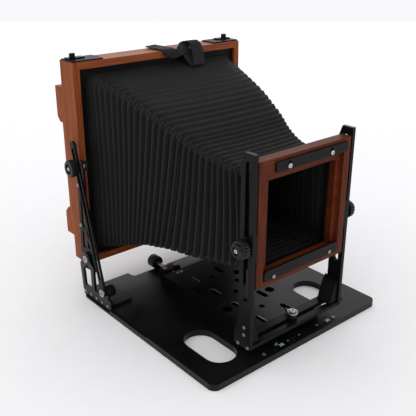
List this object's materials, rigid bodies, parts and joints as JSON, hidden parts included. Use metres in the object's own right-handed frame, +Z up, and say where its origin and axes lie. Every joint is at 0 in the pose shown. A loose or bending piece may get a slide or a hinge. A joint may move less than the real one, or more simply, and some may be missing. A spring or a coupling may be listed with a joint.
{
  "type": "view camera",
  "caption": "Large-format folding field view camera with wood frames, pleated bellows and a flat metal bed, standing open without a lens board.",
  "frame": {"origin": "middle of the underside of the base plate, at the mouth of the tripod thread", "axes": "+Z up, the lens side faces -Y, +X to the right seen from the lens side"},
  "size_m": [0.38, 0.398, 0.3996],
  "materials": {
    "anodised": "fine matte black anodised",
    "knob_black": "satin black, fluted",
    "steel": "polished screw heads",
    "bright_ring": "polished ring",
    "brass": "turned",
    "frame_wood": "oiled reddish cherry",
    "lens_wood": "oiled dark red",
    "bellows_cloth": "black pleated bellows cloth",
    "strap_web": "black woven webbing",
    "glass": "ground on the inner face",
    "level_glass": "green level liquid",
    "spring_steel": "brushed"
  },
  "bodies": {
    "base": {"base_plate": "anodised", "tripod_plate": "spring_steel", "rails": "anodised", "bracket_left": "anodised", "bracket_right": "anodised", "base_screws": "steel", "scale_bar": "anodised", "level_case": "anodised", "level_vial": "level_glass", "screw_bearing": "anodised", "strut_pivots": "steel", "tilt_pivots": "steel"},
    "pivot_knob_left": {"pivot_knob_left": "knob_black"},
    "pivot_knob_right": {"pivot_knob_right": "knob_black"},
    "rear_standard": {"rear_frame": "frame_wood", "rear_bellows_frame": "anodised", "rear_arm_left": "anodised", "rear_arm_right": "anodised", "rear_arm_screws": "steel", "clamp_studs": "steel", "detent_discs": "anodised", "back_frame": "frame_wood", "strap": "strap_web", "strap_anchors": "anodised", "latch_plates": "anodised", "bellows": "bellows_cloth"},
    "strut_left": {"strut_left": "anodised"},
    "strut_right": {"strut_right": "anodised"},
    "clamp_knob_left": {"clamp_knob_left": "knob_black"},
    "clamp_knob_right": {"clamp_knob_right": "knob_black"},
    "glass_back": {"glass_frame": "frame_wood", "ground_glass": "glass", "glass_clips": "spring_steel", "back_springs": "spring_steel", "spring_screws": "steel"},
    "latch_left": {"latch_left": "anodised"},
    "latch_right": {"latch_right": "anodised"},
    "bed": {"bed_plate": "anodised", "drive_nut": "brass", "bed_screws": "steel"},
    "focus_drive": {"focus_screw": "steel", "focus_knob": "knob_black"},
    "front_pivot": {"clamp_bolt": "steel"},
    "lock_knob": {"lock_knob": "knob_black", "lock_ring": "bright_ring"},
    "front_standard": {"front_bottom_plate": "anodised", "front_arm_left": "anodised", "front_arm_right": "anodised", "gussets": "anodised", "front_screws": "steel"},
    "rise_carrier": {"rise_slides": "anodised", "rise_bolts": "steel"},
    "rise_knob_left": {"rise_knob_left": "knob_black"},
    "rise_knob_right": {"rise_knob_right": "knob_black"},
    "lens_frame": {"lens_frame": "lens_wood", "board_rest": "anodised", "board_rest_screws": "steel", "board_lock_screws": "steel", "front_bellows_frame": "anodised"},
    "board_lock": {"board_lock": "anodised"}
  },
  "joints": [
    {"name": "rear_tilt", "type": "hinge", "parent": "base", "child": "rear_standard", "pos_m": [0, 0.155, 0.072], "axis": [1, 0, 0], "range_deg": [-12, 12], "deforming": ["bellows"]},
    {"name": "strut_swing_left", "type": "hinge", "parent": "base", "child": "strut_left", "pos_m": [-0.174, 0.102, 0.033], "axis": [1, 0, 0], "range_deg": [-10, 10]},
    {"name": "strut_swing_right", "type": "hinge", "parent": "base", "child": "strut_right", "pos_m": [0.174, 0.102, 0.033], "axis": [1, 0, 0], "range_deg": [-10, 10]},
    {"name": "pivot_knob_turn_left", "type": "hinge", "parent": "base", "child": "pivot_knob_left", "pos_m": [-0.162, 0.102, 0.033], "axis": [1, 0, 0], "continuous": true},
    {"name": "pivot_knob_turn_right", "type": "hinge", "parent": "base", "child": "pivot_knob_right", "pos_m": [0.162, 0.102, 0.033], "axis": [1, 0, 0], "continuous": true},
    {"name": "clamp_knob_turn_left", "type": "hinge", "parent": "rear_standard", "child": "clamp_knob_left", "pos_m": [-0.183, 0.155, 0.231], "axis": [1, 0, 0], "continuous": true},
    {"name": "clamp_knob_turn_right", "type": "hinge", "parent": "rear_standard", "child": "clamp_knob_right", "pos_m": [0.183, 0.155, 0.231], "axis": [1, 0, 0], "continuous": true},
    {"name": "glass_back_pull", "type": "slide", "parent": "rear_standard", "child": "glass_back", "axis": [0, 1, 0], "range_m": [0, 0.025], "stiffness_N_per_m": 600, "springref_m": -0.02},
    {"name": "latch_slide_left", "type": "slide", "parent": "rear_standard", "child": "latch_left", "axis": [1, 0, 0], "range_m": [0, 0.014]},
    {"name": "latch_slide_right", "type": "slide", "parent": "rear_standard", "child": "latch_right", "axis": [-1, 0, 0], "range_m": [0, 0.014]},
    {"name": "focus_travel", "type": "slide", "parent": "base", "child": "bed", "axis": [0, -1, 0], "range_m": [-0.006, 0.09], "deforming": ["bellows"]},
    {"name": "focus_turn", "type": "hinge", "parent": "base", "child": "focus_drive", "pos_m": [-0.03, 0.16, 0.018], "axis": [0, 1, 0], "range_deg": [-300, 3300]},
    {"name": "front_swing", "type": "hinge", "parent": "bed", "child": "front_pivot", "pos_m": [0.003, -0.141, 0.028], "axis": [0, 0, 1], "range_deg": [-10, 10], "deforming": ["bellows"]},
    {"name": "lock_knob_turn", "type": "hinge", "parent": "front_pivot", "child": "lock_knob", "pos_m": [0.003, -0.141, 0.036], "axis": [0, 0, 1], "continuous": true},
    {"name": "front_shift", "type": "slide", "parent": "front_pivot", "child": "front_standard", "axis": [1, 0, 0], "range_m": [-0.03, 0.03], "deforming": ["bellows"]},
    {"name": "front_rise", "type": "slide", "parent": "front_standard", "child": "rise_carrier", "axis": [0, 0, 1], "range_m": [-0.04, 0.06], "deforming": ["bellows"]},
    {"name": "rise_knob_turn_left", "type": "hinge", "parent": "rise_carrier", "child": "rise_knob_left", "pos_m": [-0.11, -0.143, 0.182], "axis": [1, 0, 0], "continuous": true},
    {"name": "rise_knob_turn_right", "type": "hinge", "parent": "rise_carrier", "child": "rise_knob_right", "pos_m": [0.11, -0.143, 0.182], "axis": [1, 0, 0], "continuous": true},
    {"name": "front_tilt", "type": "hinge", "parent": "rise_carrier", "child": "lens_frame", "pos_m": [0, -0.143, 0.182], "axis": [1, 0, 0], "range_deg": [-12, 12], "deforming": ["bellows"]},
    {"name": "board_lock_slide", "type": "slide", "parent": "lens_frame", "child": "board_lock", "axis": [0, 0, 1], "range_m": [-0.005, 0]}
  ],
  "couplings": [
    {"joint": "strut_swing_left", "follows": "rear_tilt", "ratio": 0.749},
    {"joint": "strut_swing_right", "follows": "rear_tilt", "ratio": 0.749},
    {"joint": "focus_turn", "follows": "focus_travel", "rad_per_m": 628.3}
  ]
}
